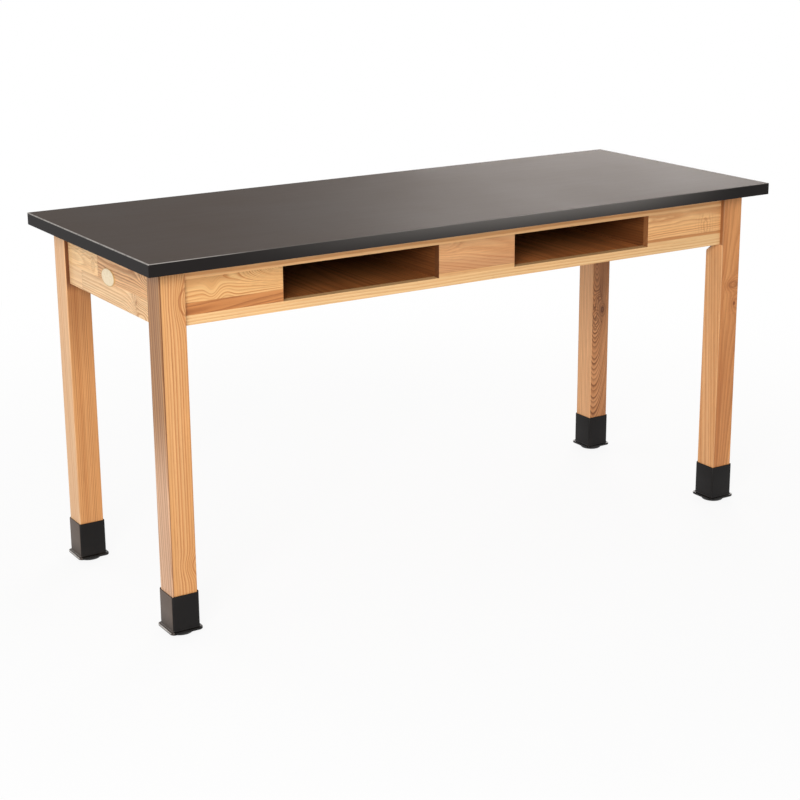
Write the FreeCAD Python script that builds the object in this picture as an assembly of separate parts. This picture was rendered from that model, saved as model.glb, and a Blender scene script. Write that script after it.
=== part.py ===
import FreeCAD, Part
import math
import os

from FreeCAD import Placement, Rotation, Vector

# Laboratory table with two book compartments, in millimetres.
# The origin is on the floor under the middle of the worktop.
# X runs along the table, -Y is the front, +Z is up.

# Overall size
table_length = 1524.0
table_depth = 609.6
table_height = 762.0

# Worktop
top_thickness = 25.4
top_end_overhang = 38.1
top_side_overhang = 44.45
top_edge_bevel = 1.0

# Legs
leg_side = 54.0
leg_edge_round = 1.6
leg_cut_drop = 4.0
leg_cut_runout = 17.0

# Aprons
apron_height = 114.3
apron_thickness = 19.05
apron_set_back = 9.5
lower_board_height = 42.0

# Front apron
top_rail_height = 25.4
bottom_rail_height = 19.05
end_block_width = 212.7
centre_block_width = 190.5

# Book compartments
side_panel_thickness = 12.7
side_panel_rise = 3.2
side_panel_housing = 4.0
floor_thickness = 9.5
floor_step = 1.6
floor_housing = 5.0

# Corner brackets
bracket_steel = 2.5
bracket_leg_gap = 6.0
bracket_wing_length = 35.0
bracket_lip = 7.0
bracket_top_gap = 8.0
bracket_wing_rise = 6.0
bracket_web_drop = 8.0
bracket_bend_round = 1.5
kerf_clearance = 0.3

# Hanger bolts with their washers and nuts
hanger_diameter = 7.94
hanger_spacing = 50.8
hanger_depth = 38.0
hanger_tail = 12.0
hanger_point = 6.0
washer_diameter = 19.0
washer_thickness = 1.6
nut_width = 12.7
nut_height = 6.75

# Pan head screws
screw_diameter = 4.2
screw_length = 15.0
screw_point = 4.0
screw_head_diameter = 8.4
screw_head_height = 2.8
screw_head_round = 1.2
screw_slot_width = 1.2
screw_slot_span = 4.6
screw_slot_depth = 1.5
bracket_screw_spacing = 38.1

# Steel angles under the worktop
angle_reach = 22.0
angle_width = 20.0
angle_steel = 2.0
angle_bend_round = 1.5
angle_hole_inset = 12.5

# Boots
boot_top = 88.9
boot_wall = 2.5
boot_base = 3.0
boot_flange = 5.5
boot_flange_round = 6.0
boot_flange_ease = 1.0
boot_cove = 3.0

# Levelling glides
pad_diameter = 50.8
pad_height = 8.0
pad_bottom_round = 2.0
pad_socket_floor = 2.6
stem_diameter = 9.525
stem_engagement = 23.0
stem_head_diameter = 18.0
stem_head_height = 3.0
stem_point = 1.5
glide_travel = 12.0

# Threaded inserts in the leg ends
insert_diameter = 13.5
insert_length = 27.0
insert_flange_diameter = 22.0
insert_flange_thickness = 1.6

# Oval plate on the left apron
plate_length = 64.0
plate_height = 36.0
plate_thickness = 0.8
plate_rim = 1.6
plate_rim_rise = 0.4
plate_drop = 5.0

# Clearances and the overrun of every cut
thread_clearance = 0.05
hole_clearance = 0.4
running_clearance = 0.08
stem_room = 1.0
overrun = 5.0

# Levels
top_underside = table_height - top_thickness
apron_bottom = top_underside - apron_height
leg_bottom = pad_height + boot_base
rail_top = apron_bottom + bottom_rail_height
opening_top = top_underside - top_rail_height
board_joint = apron_bottom + lower_board_height
floor_top = rail_top - floor_step
floor_bottom = floor_top - floor_thickness
apron_middle = apron_bottom + apron_height / 2

# With the glide let right down, the stem still fills this much of its insert
stem_length = boot_base + glide_travel + stem_engagement

# Half sizes of the frame, from the middle of the table
frame_x = table_length / 2 - top_end_overhang
frame_y = table_depth / 2 - top_side_overhang
leg_inner_x = frame_x - leg_side
leg_inner_y = frame_y - leg_side
leg_middle_x = frame_x - leg_side / 2
leg_middle_y = frame_y - leg_side / 2
apron_outer_x = frame_x - apron_set_back
apron_outer_y = frame_y - apron_set_back
apron_inner_x = apron_outer_x - apron_thickness
apron_inner_y = apron_outer_y - apron_thickness
opening_near_x = centre_block_width / 2
opening_far_x = leg_inner_x - end_block_width

# The flat cut on a leg joins the inner faces of the two aprons beside it
cut_leg = leg_side - apron_set_back - apron_thickness
cut_depth = cut_leg / math.sqrt(2)
cut_middle = Vector(-leg_inner_x - cut_leg / 2, -leg_inner_y - cut_leg / 2, 0)
inward = Vector(1, 1, 0).normalize()
sideways = Vector(1, -1, 0).normalize()
up = Vector(0, 0, 1)

# Places along the inward diagonal of a corner, from the flat cut on the leg
web_face = bracket_leg_gap
web_back = web_face + bracket_steel
washer_back = web_back + washer_thickness
nut_back = washer_back + nut_height
bolt_end = nut_back + hanger_tail

# Where the outer face of the web meets the inner faces of the aprons
web_start = cut_leg + web_face * math.sqrt(2)
wing_end = web_start + bracket_wing_length
wing_middle = web_start + bracket_wing_length / 2

hanger_levels = [apron_middle - hanger_spacing / 2, apron_middle + hanger_spacing / 2]
bracket_screw_levels = [apron_middle - bracket_screw_spacing / 2, apron_middle + bracket_screw_spacing / 2]

CORNERS = ["front_left", "front_right", "back_left", "back_right"]


# Helpers

def block(x0, x1, y0, y1, z0, z1):
    return Part.makeBox(x1 - x0, y1 - y0, z1 - z0, Vector(x0, y0, z0))


def rod(radius, start, end):
    return Part.makeCylinder(radius, (end - start).Length, start, end - start)


def outline_face(points):
    return Part.Face(Part.makePolygon(points + points[:1]))


def turned(points):
    """A solid of revolution about Z from (radius, height) points."""
    face = outline_face([Vector(r, 0, z) for r, z in points])
    return face.revolve(Vector(0, 0, 0), up, 360)


def placed(shape, start, direction):
    copy = shape.copy()
    copy.Placement = Placement(start, Rotation(up, direction))
    return copy


def one_solid(shape):
    solid = shape.removeSplitter().Solids[0]
    return solid


def carved(piece, tools):
    """The piece less every tool that reaches it."""
    near = [tool for tool in tools if tool.BoundBox.intersect(piece.BoundBox)]
    return one_solid(piece.cut(near)) if near else piece


def upright_edges(shape):
    """The four edges of a plain block that run along Z."""
    return [edge for edge in shape.Edges if abs(edge.tangentAt(edge.FirstParameter).dot(up)) > 0.5]


def edges_through(shape, point, direction):
    """The edges along a direction that pass through a point."""
    vertex = Part.Vertex(point)
    return [edge for edge in shape.Edges if edge.distToShape(vertex)[0] < Part.Precision.confusion()
            and abs(edge.tangentAt(edge.FirstParameter).dot(direction)) > 0.5]


def mirrored_x(shape):
    return shape.mirror(Vector(0, 0, 0), Vector(1, 0, 0))


def mirrored_y(shape):
    return shape.mirror(Vector(0, 0, 0), Vector(0, 1, 0))


def at_corners(shape):
    """The front left shape and its three mirror images, by corner."""
    right = mirrored_x(shape)
    return dict(zip(CORNERS, [shape, right, mirrored_y(shape), mirrored_y(right)]))


def on_diagonal(distance, level):
    """A point on a front left leg's diagonal, at a distance inward from its flat cut."""
    return cut_middle + inward * distance + up * level


# Screws, bolts, washers and nuts, each made along Z and placed where it goes

def pan_screw():
    """The underside of the head is at height 0, the shank points down."""
    radius = screw_diameter / 2
    head = Part.makeCylinder(screw_head_diameter / 2, screw_head_height)
    rim = [e for e in head.Edges if e.BoundBox.ZMin > screw_head_height / 2]
    head = head.makeFillet(screw_head_round, rim)
    shank = turned([(0, 0), (radius, 0), (radius, screw_point - screw_length), (0, -screw_length)])
    slot = block(-screw_slot_span / 2, screw_slot_span / 2, -screw_slot_width / 2, screw_slot_width / 2,
                 screw_head_height - screw_slot_depth, screw_head_height + overrun)
    cross = placed(slot, Vector(0, 0, 0), up)
    cross.rotate(Vector(0, 0, 0), up, 90)
    return one_solid(head.fuse(shank).cut([slot, cross]))


def screw_hole(start, direction):
    """The pilot hole of a screw whose head lies at start and whose shank runs against direction."""
    end = start - direction * (screw_length + thread_clearance)
    return rod(screw_diameter / 2 + thread_clearance, start, end)


def hanger_bolt(level):
    radius = hanger_diameter / 2
    length = hanger_depth + bolt_end
    bolt = turned([(0, 0), (radius, hanger_point), (radius, length), (0, length)])
    return placed(bolt, on_diagonal(-hanger_depth, level), inward)


def washer(level):
    bore = rod(hanger_diameter / 2 + thread_clearance, on_diagonal(0, level), on_diagonal(bolt_end, level))
    ring = rod(washer_diameter / 2, on_diagonal(web_back, level), on_diagonal(washer_back, level))
    return ring.cut(bore)


def hex_nut(level):
    across_corners = nut_width / math.cos(math.radians(30))
    corners = [Vector(across_corners / 2 * math.cos(math.radians(60 * i)),
                      across_corners / 2 * math.sin(math.radians(60 * i)), 0) for i in range(6)]
    prism = outline_face(corners).extrude(up * nut_height)
    dome_drop = (across_corners - nut_width) / 2
    dome = turned([(0, 0), (nut_width / 2, 0), (across_corners / 2, dome_drop),
                   (across_corners / 2, nut_height - dome_drop), (nut_width / 2, nut_height),
                   (0, nut_height)])
    bore = Part.makeCylinder(hanger_diameter / 2 + thread_clearance, nut_height)
    return placed(one_solid(prism.common(dome).cut(bore)), on_diagonal(washer_back, level), inward)


# Corner bracket: a web across the corner, and two wings hooked into kerfs in the aprons

def corner_point(along_front, along_end, level):
    """A point of the front left corner, by its distances from the inner faces of the end and front aprons."""
    return Vector(along_front - apron_inner_x, along_end - apron_inner_y, level)


def corner_bracket():
    steel = bracket_steel
    bend = web_start + steel * math.sqrt(2) - steel
    half = [(web_start, 0), (wing_end - steel, 0), (wing_end - steel, -bracket_lip),
            (wing_end, -bracket_lip), (wing_end, steel), (bend, steel)]
    low = apron_bottom - bracket_web_drop
    wing_low = apron_bottom + bracket_wing_rise
    high = top_underside - bracket_top_gap
    outline = half + [(v, u) for u, v in reversed(half)]
    bent = outline_face([corner_point(u, v, low) for u, v in outline]).extrude(up * (high - low))
    bends = [(web_start, 0, bracket_bend_round + steel), (bend, steel, bracket_bend_round),
             (wing_end, steel, bracket_bend_round)]
    for u, v, radius in bends:
        for point in [corner_point(u, v, low), corner_point(v, u, low)]:
            bent = bent.makeFillet(radius, edges_through(bent, point, up))
    edge = corner_point(bend, 0, 0)
    far = edge + Vector(wing_end, 0, 0)
    under_front = block(edge.x, far.x, edge.y - bracket_lip - overrun, edge.y + steel + overrun,
                        low - overrun, wing_low)
    side = corner_point(0, bend, 0)
    under_end = block(side.x - bracket_lip - overrun, side.x + steel + overrun, side.y, side.y + wing_end,
                      low - overrun, wing_low)
    holes = [rod(hanger_diameter / 2 + hole_clearance, on_diagonal(0, z), on_diagonal(bolt_end, z))
             for z in hanger_levels]
    screw_radius = screw_diameter / 2 + hole_clearance
    holes += [rod(screw_radius, start - direction * overrun, start + direction * overrun)
              for start, direction in bracket_screw_places()]
    return one_solid(bent.cut([under_front, under_end] + holes))


def bracket_screw_places():
    """Where the heads of the four screws of the front left bracket lie, and which way they point."""
    places = []
    for level in bracket_screw_levels:
        places.append((corner_point(wing_middle, bracket_steel, level), Vector(0, 1, 0)))
        places.append((corner_point(bracket_steel, wing_middle, level), Vector(1, 0, 0)))
    return places


def kerfs():
    """The two saw kerfs of the front left corner, over the whole height of the aprons."""
    near = wing_end - bracket_steel - kerf_clearance
    far = wing_end + kerf_clearance
    depth = bracket_lip + kerf_clearance
    low = corner_point(near, -depth, apron_bottom - overrun)
    high = corner_point(far, overrun, top_underside + overrun)
    front = block(low.x, high.x, low.y, high.y, low.z, high.z)
    low = corner_point(-depth, near, apron_bottom - overrun)
    high = corner_point(overrun, far, top_underside + overrun)
    end = block(low.x, high.x, low.y, high.y, low.z, high.z)
    return [front, end]


# Steel angles that hold the worktop down

def angle_places():
    """Where the bends of the angles lie, and which way each reaches in from its apron."""
    middle_x = (opening_far_x + side_panel_thickness + leg_inner_x) / 2
    places = []
    for x in [-middle_x, 0, middle_x]:
        places.append((Vector(x, -apron_inner_y, top_underside), Vector(0, 1, 0)))
        places.append((Vector(x, apron_inner_y, top_underside), Vector(0, -1, 0)))
    places.append((Vector(-apron_inner_x, 0, top_underside), Vector(1, 0, 0)))
    places.append((Vector(apron_inner_x, 0, top_underside), Vector(-1, 0, 0)))
    return places


def angle(bend, reach_in):
    along = up.cross(reach_in)
    start = bend - along * (angle_width / 2)
    outline = [(0, 0), (angle_reach, 0), (angle_reach, -angle_steel), (angle_steel, -angle_steel),
               (angle_steel, -angle_reach), (0, -angle_reach)]
    body = outline_face([start + reach_in * u + up * v for u, v in outline]).extrude(along * angle_width)
    body = body.makeFillet(angle_bend_round + angle_steel, edges_through(body, start, along))
    inside = start + (reach_in - up) * angle_steel
    body = body.makeFillet(angle_bend_round, edges_through(body, inside, along))
    radius = screw_diameter / 2 + hole_clearance
    upright = bend - up * angle_hole_inset
    level = bend + reach_in * angle_hole_inset
    holes = [rod(radius, upright - reach_in * overrun, upright + reach_in * overrun),
             rod(radius, level - up * overrun, level + up * overrun)]
    return one_solid(body.cut(holes))


def angle_screw_places():
    """For each angle, a screw into its apron and one up into the worktop."""
    sideways_screws = []
    upward_screws = []
    for bend, reach_in in angle_places():
        sideways_screws.append((bend - up * angle_hole_inset + reach_in * angle_steel, reach_in))
        upward_screws.append((bend + reach_in * angle_hole_inset - up * angle_steel, up * -1))
    return sideways_screws, upward_screws


# Worktop

def worktop(tools):
    slab = block(-table_length / 2, table_length / 2, -table_depth / 2, table_depth / 2,
                 top_underside, table_height)
    return carved(slab.makeChamfer(top_edge_bevel, slab.Edges), tools)


# Front left leg: eased edges, a flat cut for the bracket, bolt holes and the seat of the insert

def leg():
    body = block(-frame_x, -leg_inner_x, -frame_y, -leg_inner_y, leg_bottom, top_underside)
    body = body.makeFillet(leg_edge_round, upright_edges(body))
    flat_end = apron_bottom - leg_cut_drop
    slope = leg_cut_runout / cut_depth
    reach = cut_depth + overrun
    width = leg_side + overrun
    profile = [(0, flat_end), (reach, flat_end - slope * reach),
               (reach, top_underside + overrun), (0, top_underside + overrun)]
    face = outline_face([on_diagonal(d, z) - sideways * width for d, z in profile])
    cut = face.extrude(sideways * (width * 2))
    bolt_radius = hanger_diameter / 2 + thread_clearance
    holes = [rod(bolt_radius, on_diagonal(-hanger_depth, z), on_diagonal(overrun, z)) for z in hanger_levels]
    axis = Vector(-leg_middle_x, -leg_middle_y, leg_bottom)
    seat = rod(insert_flange_diameter / 2 + thread_clearance, axis - up * overrun,
               axis + up * insert_flange_thickness)
    barrel = rod(insert_diameter / 2 + thread_clearance, axis - up * overrun, axis + up * insert_length)
    stem_top = pad_height + stem_length
    room = rod(stem_diameter / 2 + stem_room, axis, Vector(axis.x, axis.y, stem_top + overrun))
    return one_solid(body.cut([cut, seat, barrel, room] + holes))


# Aprons

def front_apron(tools):
    """The rails and blocks of the front apron, by name."""
    y0, y1 = -apron_outer_y, -apron_inner_y
    pieces = {
        "front_bottom_rail": block(-leg_inner_x, leg_inner_x, y0, y1, apron_bottom, rail_top),
        "front_top_rail": block(-leg_inner_x, leg_inner_x, y0, y1, opening_top, top_underside),
        "front_block_left": block(-leg_inner_x, -opening_far_x, y0, y1, rail_top, opening_top),
        "front_block_centre": block(-opening_near_x, opening_near_x, y0, y1, rail_top, opening_top),
        "front_block_right": block(opening_far_x, leg_inner_x, y0, y1, rail_top, opening_top),
    }
    return {name: carved(piece, tools) for name, piece in pieces.items()}


def two_board_apron(name, x0, x1, y0, y1, tools):
    lower = block(x0, x1, y0, y1, apron_bottom, board_joint)
    upper = block(x0, x1, y0, y1, board_joint, top_underside)
    return {name + "_lower": carved(lower, tools), name + "_upper": carved(upper, tools)}


# Book compartments

def compartment_side(inner_x, outward):
    """One side panel, housed in the front and back aprons; outward is the sign of its outer face's side."""
    faces = sorted([inner_x, inner_x + outward * side_panel_thickness])
    reach = apron_inner_y + side_panel_housing
    return block(faces[0], faces[1], -reach, reach, apron_bottom + side_panel_rise, top_underside)


def compartment_floor(x0, x1):
    return block(x0 - floor_housing, x1 + floor_housing, -apron_inner_y, apron_inner_y,
                 floor_bottom, floor_top)


# Boot: a square cup over the leg end, with a coved flange round its foot and a hole for the stem

def boot():
    centre = Vector(-leg_middle_x, -leg_middle_y, 0)

    def square(half, z0, z1, radius):
        body = block(centre.x - half, centre.x + half, centre.y - half, centre.y + half, z0, z1)
        return body.makeFillet(radius, upright_edges(body))

    half_leg = leg_side / 2
    half_cup = half_leg + boot_wall
    cup = square(half_cup, pad_height, boot_top, leg_edge_round + boot_wall)
    flange = square(half_cup + boot_flange, pad_height, leg_bottom, boot_flange_round)
    rim = [e for e in flange.Edges if e.BoundBox.ZMin > leg_bottom - boot_base / 2]
    flange = flange.makeFillet(boot_flange_ease, rim)
    hollow = square(half_leg, leg_bottom, boot_top + overrun, leg_edge_round)
    hole = rod(stem_diameter / 2 + stem_room, centre, centre + up * (leg_bottom + overrun))
    boot_body = cup.fuse(flange).removeSplitter()
    reach = half_cup + boot_cove / 2
    foot = [e for e in boot_body.Edges if e.BoundBox.ZLength < boot_cove / 2
            and abs(e.BoundBox.Center.z - leg_bottom) < boot_flange_ease / 2
            and max(abs(e.BoundBox.XMin - centre.x), abs(e.BoundBox.XMax - centre.x)) < reach
            and max(abs(e.BoundBox.YMin - centre.y), abs(e.BoundBox.YMax - centre.y)) < reach]
    return one_solid(boot_body.makeFillet(boot_cove, foot).cut([hollow, hole]))


# Levelling glide: the insert in the leg, the threaded stem, and the pad that holds the stem's head

def insert():
    bore = stem_diameter / 2 + running_clearance
    ring = turned([(bore, 0), (insert_flange_diameter / 2, 0),
                   (insert_flange_diameter / 2, insert_flange_thickness),
                   (insert_diameter / 2, insert_flange_thickness),
                   (insert_diameter / 2, insert_length), (bore, insert_length)])
    return placed(ring, Vector(-leg_middle_x, -leg_middle_y, leg_bottom), up)


def stem():
    radius = stem_diameter / 2
    head = stem_head_diameter / 2
    low = pad_socket_floor + running_clearance
    shoulder = low + stem_head_height
    high = pad_height + stem_length
    body = turned([(0, low), (head, low), (head, shoulder), (radius, shoulder),
                   (radius, high - stem_point), (radius - stem_point, high), (0, high)])
    return placed(body, Vector(-leg_middle_x, -leg_middle_y, 0), up)


def pad():
    rim = pad_diameter / 2
    socket = stem_head_diameter / 2 + running_clearance
    neck = stem_diameter / 2 + running_clearance
    ceiling = pad_socket_floor + stem_head_height + running_clearance * 2
    body = Part.makeCylinder(rim, pad_height)
    foot = [e for e in body.Edges if e.BoundBox.ZMax < pad_height / 2]
    body = body.makeFillet(pad_bottom_round, foot)
    hollow = turned([(0, pad_socket_floor), (socket, pad_socket_floor), (socket, ceiling),
                     (neck, ceiling), (neck, pad_height + overrun), (0, pad_height + overrun)])
    return placed(one_solid(body.cut(hollow)), Vector(-leg_middle_x, -leg_middle_y, 0), up)


# Oval plate: a thin disc with a raised rim, on the outer face of the left apron

def oval(length, height, thickness):
    centre = Vector(-apron_outer_x, 0, apron_middle - plate_drop)
    curve = Part.Ellipse(Vector(0, 0, 0), length / 2, height / 2).toShape()
    face = Part.Face(Part.Wire([curve]))
    solid = face.extrude(up * thickness)
    solid.Placement = Placement(centre, Rotation(Vector(0, 1, 0), Vector(0, 0, 1), Vector(-1, 0, 0), "XZY"))
    return solid


def oval_plate():
    plate = oval(plate_length, plate_height, plate_thickness + plate_rim_rise)
    well = oval(plate_length - plate_rim * 2, plate_height - plate_rim * 2, plate_thickness + plate_rim_rise)
    well.translate(Vector(-plate_thickness, 0, 0))
    return one_solid(plate.cut(well))


# The whole table

def all_nodes():
    nodes = {}
    side_panels = {
        "left_compartment_outer_side": compartment_side(-opening_far_x, -1),
        "left_compartment_inner_side": compartment_side(-opening_near_x, 1),
        "right_compartment_inner_side": compartment_side(opening_near_x, -1),
        "right_compartment_outer_side": compartment_side(opening_far_x, 1),
    }
    floors = {
        "left_compartment_floor": compartment_floor(-opening_far_x, -opening_near_x),
        "right_compartment_floor": compartment_floor(opening_near_x, opening_far_x),
    }

    bracket_screws = []
    wood_tools = list(side_panels.values())
    for start, direction in bracket_screw_places():
        bracket_screws += at_corners(placed(pan_screw(), start, direction)).values()
        wood_tools += at_corners(screw_hole(start, direction)).values()
    for kerf in kerfs():
        wood_tools += at_corners(kerf).values()
    into_aprons, into_top = angle_screw_places()
    wood_tools += [screw_hole(start, direction) for start, direction in into_aprons]
    top_tools = [screw_hole(start, direction) for start, direction in into_top]

    nodes["worktop"] = worktop(top_tools)
    for corner, shape in at_corners(leg()).items():
        nodes["leg_" + corner] = shape
    nodes.update(front_apron(wood_tools))
    two_board_aprons = {
        "back_apron": (-leg_inner_x, leg_inner_x, apron_inner_y, apron_outer_y),
        "left_apron": (-apron_outer_x, -apron_inner_x, -leg_inner_y, leg_inner_y),
        "right_apron": (apron_inner_x, apron_outer_x, -leg_inner_y, leg_inner_y),
    }
    for name, faces in two_board_aprons.items():
        nodes.update(two_board_apron(name, *faces, wood_tools))
    for name, panel in side_panels.items():
        nodes[name] = carved(panel, list(floors.values()))
    nodes.update(floors)
    nodes["apron_oval_plate"] = oval_plate()

    for corner, shape in at_corners(corner_bracket()).items():
        nodes["corner_bracket_" + corner] = shape
    nodes["bracket_screws"] = Part.makeCompound(bracket_screws)
    for name, make in [("hanger_bolts", hanger_bolt), ("hanger_washers", washer), ("hanger_nuts", hex_nut)]:
        solids = []
        for level in hanger_levels:
            solids += at_corners(make(level)).values()
        nodes[name] = Part.makeCompound(solids)

    nodes["worktop_angles"] = Part.makeCompound([angle(bend, reach_in) for bend, reach_in in angle_places()])
    nodes["angle_apron_screws"] = Part.makeCompound([placed(pan_screw(), *place) for place in into_aprons])
    nodes["angle_worktop_screws"] = Part.makeCompound([placed(pan_screw(), *place) for place in into_top])

    nodes["glide_inserts"] = Part.makeCompound(list(at_corners(insert()).values()))
    for name, make in [("boot_", boot), ("glide_stem_", stem), ("glide_pad_", pad)]:
        for corner, shape in at_corners(make()).items():
            nodes[name + corner] = shape
    return nodes


def main():
    os.makedirs("parts", exist_ok=True)
    for name, shape in all_nodes().items():
        shape.exportStep(os.path.join("parts", name + ".step"))
        print(name, "solids", len(shape.Solids), "valid", shape.isValid(), "volume", round(shape.Volume))


main()
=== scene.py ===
import math

import bmesh
import bpy
from mathutils import Euler, Matrix, Vector


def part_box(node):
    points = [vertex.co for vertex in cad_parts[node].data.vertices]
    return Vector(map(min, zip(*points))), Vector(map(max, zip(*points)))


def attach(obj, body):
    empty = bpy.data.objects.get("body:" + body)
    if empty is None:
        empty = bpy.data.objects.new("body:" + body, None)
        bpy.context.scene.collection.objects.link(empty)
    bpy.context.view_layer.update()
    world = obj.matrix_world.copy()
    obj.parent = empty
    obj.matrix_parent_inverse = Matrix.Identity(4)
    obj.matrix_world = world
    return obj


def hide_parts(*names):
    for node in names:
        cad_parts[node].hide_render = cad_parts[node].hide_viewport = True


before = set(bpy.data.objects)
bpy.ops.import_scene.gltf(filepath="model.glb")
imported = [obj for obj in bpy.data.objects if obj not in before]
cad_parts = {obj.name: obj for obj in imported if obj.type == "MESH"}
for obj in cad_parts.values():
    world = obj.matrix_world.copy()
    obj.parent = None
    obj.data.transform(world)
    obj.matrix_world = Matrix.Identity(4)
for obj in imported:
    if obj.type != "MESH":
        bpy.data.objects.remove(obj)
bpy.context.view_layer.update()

scene = bpy.context.scene
mm = 0.001
cornerNames = ("front_left", "front_right", "back_left", "back_right")
print("frame loaded:", len(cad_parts), "nodes")


def colour(red, green, blue):  # a screen colour of 0 to 255 as linear light
    def linear(value):
        share = value / 255
        return share / 12.92 if share < 0.04045 else ((share + 0.055) / 1.055) ** 2.4
    return (linear(red), linear(green), linear(blue), 1.0)


def addObject(name, data):  # at the origin, in the scene
    item = bpy.data.objects.new(name, data)
    scene.collection.objects.link(item)
    return item


def meshObject(name, bm, material):
    mesh = bpy.data.meshes.new(name)
    bm.to_mesh(mesh)
    bm.free()
    mesh.materials.append(material)
    return addObject(name, mesh)


# Short ways to add shader nodes. Each takes numbers or sockets and returns the new node's output.

def feed(tree, socket, value):
    if isinstance(value, bpy.types.NodeSocket):
        tree.links.new(value, socket)
    elif value is not None:
        socket.default_value = value


def feedAll(tree, node, values):
    for label, value in values.items():
        feed(tree, node.inputs[label], value)


def addNode(tree, kind, *values, **settings):  # the values go to its inputs in turn, and None leaves one alone
    node = tree.nodes.new("ShaderNode" + kind)
    for label, setting in settings.items():
        setattr(node, label, setting)
    for socket, value in zip(node.inputs, values):
        feed(tree, socket, value)
    return node


def calc(tree, operation, *values, clamp=False):
    return addNode(tree, "Math", *values, operation=operation, use_clamp=clamp).outputs[0]


def times(tree, value, *factors):
    for factor in factors:
        value = calc(tree, "MULTIPLY", value, factor)
    return value


def minus(tree, value, less):
    return calc(tree, "SUBTRACT", value, less)


def scaled(tree, value, factor, offset):  # value * factor + offset
    return calc(tree, "MULTIPLY_ADD", value, factor, offset)


def sway(tree, wave, amount, middle):  # a noise of 0 to 1 moves a value both ways about its middle
    return scaled(tree, minus(tree, wave, 0.5), amount, middle)


def vectorCalc(tree, operation, first, second=None, scale=None):  # only SCALE uses the scale
    node = addNode(tree, "VectorMath", first, second, None, scale, operation=operation)
    return node.outputs["Value" if operation in ("LENGTH", "DOT_PRODUCT") else "Vector"]


def axes(tree, vector):  # its X, Y and Z
    return addNode(tree, "SeparateXYZ", vector).outputs


def fade(tree, value, start, end, low=0.0, high=1.0):  # a smooth step from low at start to high at end
    return addNode(tree, "MapRange", value, start, end, low, high, interpolation_type="SMOOTHSTEP").outputs[0]


patterns = {  # how often each noise changes in a metre along X, Y and Z, its detail and its roughness
    "drift": ((2.6, 11, 11), 1.0, 0.5), "tremble": ((17, 60, 60), 2.0, 0.5), "fibre": ((9, 420, 420), 3.0, 0.6),
    "pores": ((42, 900, 900), 1.0, 0.5), "patches": ((2.2, 16, 16), 2.0, 0.5), "bark": ((160, 160, 160), 2.0, 0.5),
    "branch": ((12, 300, 300), 2.0, 0.5), "seam": ((9, 9, 9), 3.0, 0.6),
    "resinCloud": ((3.5, 3.5, 3.5), 4.0, 0.6), "speckle": ((900, 900, 900), 2.0, 0.7),
    "wipes": ((6, 120, 40), 3.0, 0.65), "flow": ((26, 26, 12), 3.0, 0.6), "mould": ((1500, 1500, 1500), 1.0, 0.5),
    "rolling": ((60, 60, 900), 2.0, 0.5), "dullPatch": ((45, 45, 45), 4.0, 0.65),
    "mottle": ((220, 220, 220), 4.0, 0.65), "enamelCloud": ((60, 60, 60), 2.0, 0.5),
}


def noiseNode(tree, place, pattern, seed):
    stretch, detail, roughness = patterns[pattern]
    stretched = vectorCalc(tree, "MULTIPLY", place, stretch)
    return addNode(tree, "TexNoise", stretched, seed, 1.0, detail, roughness, noise_dimensions="4D")


def noise(tree, place, pattern, seed):
    return noiseNode(tree, place, pattern, seed).outputs[0]


def wander(tree, place, pattern, seed, reach):  # the place, moved about by a noise
    shift = vectorCalc(tree, "SUBTRACT", noiseNode(tree, place, pattern, seed).outputs[1], (0.5, 0.5, 0.5))
    return vectorCalc(tree, "SCALE", shift, scale=reach)


def lineNoise(tree, along, seed, rate):  # noise that changes along one value only
    moved = scaled(tree, along, rate, seed)
    return addNode(tree, "TexNoise", None, moved, 1.0, 1.0, noise_dimensions="1D").outputs[0]


def mixColour(tree, share, first, second):
    return addNode(tree, "Mix", share, *[None] * 5, first, second, data_type="RGBA").outputs[2]  # its colour sockets


def mixValue(tree, share, first, second):
    return addNode(tree, "Mix", share, None, first, second).outputs[0]


def stepped(tree, value, stops):  # a grey ramp through (place, brightness) stops
    node = addNode(tree, "ValToRGB", value)
    elements = node.color_ramp.elements
    while len(elements) < len(stops):
        elements.new(0.5)
    for element, (position, grey) in zip(elements, stops):
        element.position = position
        element.color = (grey, grey, grey, 1.0)
    return node.outputs[0]


finish = {"tint": "Color", "shine": "Float", "relief": "Float"}  # what most groups give


def newGroup(name, inputs, outputs=finish):  # every group is also given its place
    tree = bpy.data.node_groups.new(name, "ShaderNodeTree")
    for label, value in {"place": (0.0, 0.0, 0.0), **inputs}.items():
        kind = {1: "Float", 3: "Vector", 4: "Color"}[len(value) if isinstance(value, tuple) else 1]
        socket = tree.interface.new_socket(name=label, in_out="INPUT", socket_type="NodeSocket" + kind)
        socket.default_value = value
    for label, kind in outputs.items():
        tree.interface.new_socket(name=label, in_out="OUTPUT", socket_type="NodeSocket" + kind)
    return tree, tree.nodes.new("NodeGroupInput").outputs, tree.nodes.new("NodeGroupOutput").inputs


def placeGroup(tree, group, **values):
    node = addNode(tree, "Group", node_tree=group)
    feedAll(tree, node, values)
    return node.outputs


# Shared effects. Wood reads a place whose X runs along the grain, with its origin at the board's centre.

ringLook = {
    "profile": ((0.0, 1.0), (0.2, 0.8), (0.48, 0.22), (0.7, 0.0), (0.86, 0.1), (1.0, 1.0)),  # brown over one year
    "yearRate": 0.33, "yearDrift": 0.9,  # some years grow wider
    "faintest": 0.4,  # how brown the palest year's line still is
    "bandRate": 0.23, "bandSeed": 17.0, "bandShare": 0.6,  # broad bands of years, beside clouds
    "poresInPale": 0.25, "poreShade": 0.85,
    "shine": 0.36, "fibreShine": 0.14, "lineShine": 0.12,
    "fibreHeight": 0.5, "lineDepth": 0.4, "poreDepth": 0.5,
}


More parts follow.
